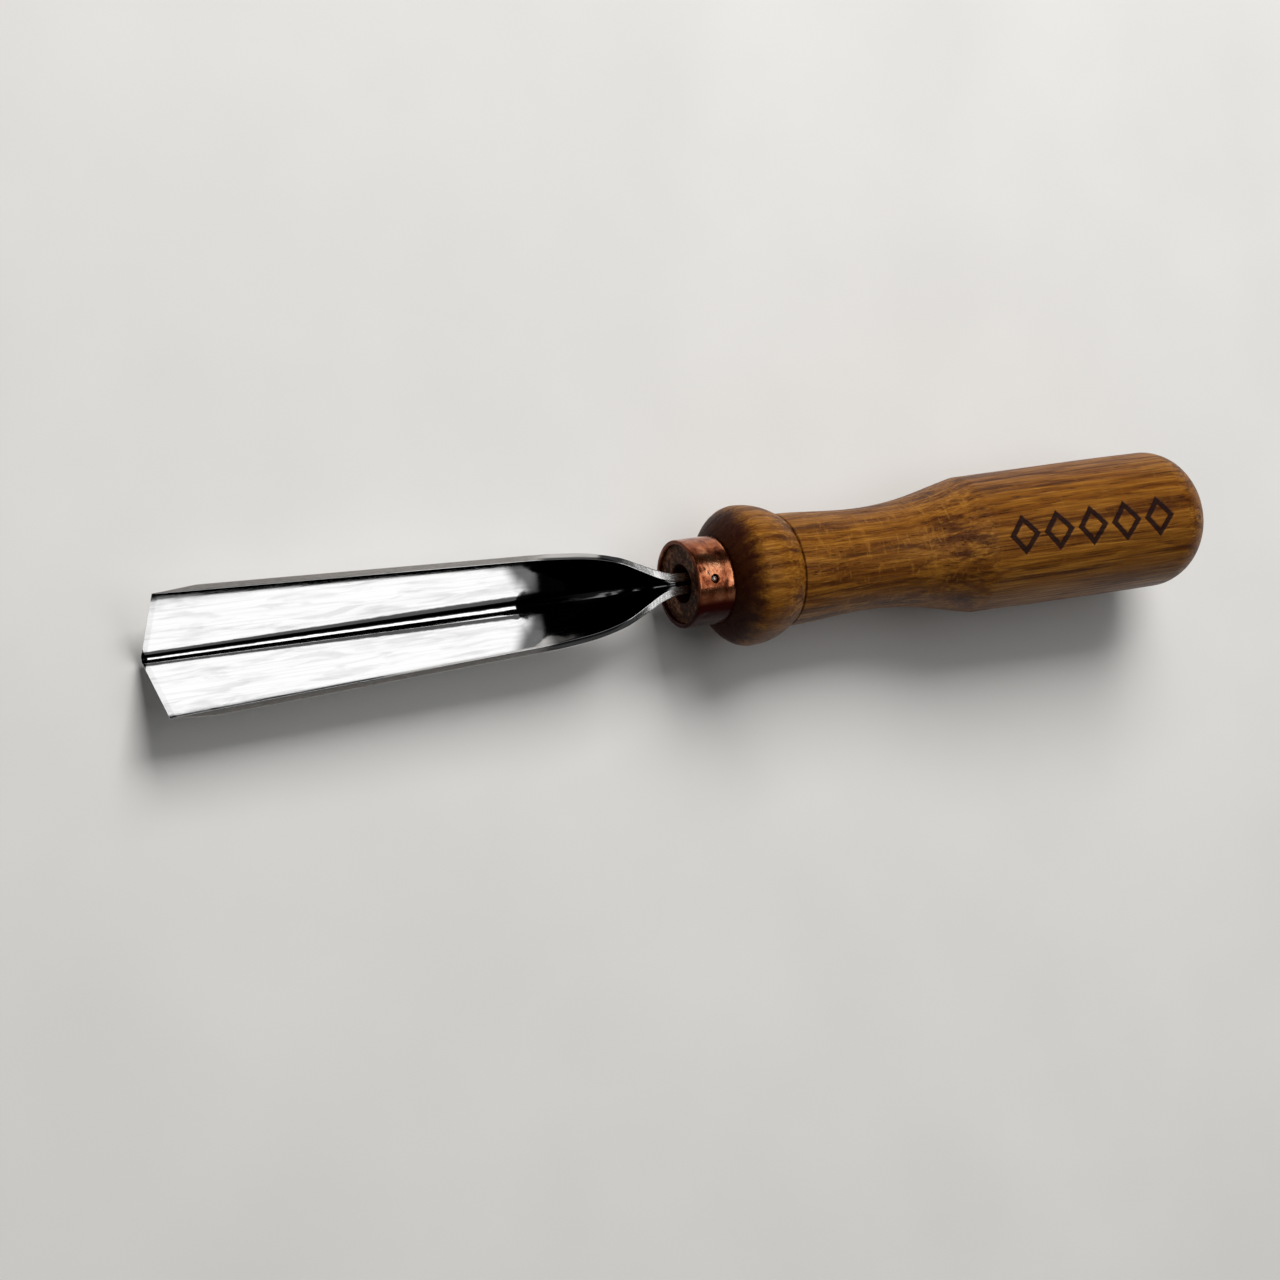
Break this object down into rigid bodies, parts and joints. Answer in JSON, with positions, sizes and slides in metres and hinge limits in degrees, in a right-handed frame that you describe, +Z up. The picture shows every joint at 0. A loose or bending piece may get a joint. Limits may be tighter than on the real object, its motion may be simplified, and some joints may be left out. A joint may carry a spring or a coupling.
{
  "type": "v parting tool",
  "caption": "Hand carving tool with a polished V-section blade, square cutting edge, narrow neck, copper ferrule and turned wooden handle.",
  "frame": {"origin": "on the bench, under the middle of the tool's outline, as it lies on the blade's keel and the handle's bulb", "axes": "+Z up from the bench, +X towards the handle's end, so the cutting edge points to -X, and the V opens upwards"},
  "size_m": [0.2602, 0.0318, 0.0371],
  "materials": {
    "blade_steel": "polished tool steel, fine lengthwise polishing lines",
    "ferrule_copper": "copper tube, rubbed and slightly tarnished",
    "pin_steel": "dull steel brad",
    "handle_wood": "oiled golden-brown oak, satin",
    "bedding_resin": "dark resin"
  },
  "bodies": {
    "root": {"v_blade": "blade_steel", "ferrule": "ferrule_copper", "ferrule_pin": "pin_steel", "handle": "handle_wood", "tang_bedding": "bedding_resin"}
  },
  "joints": []
}
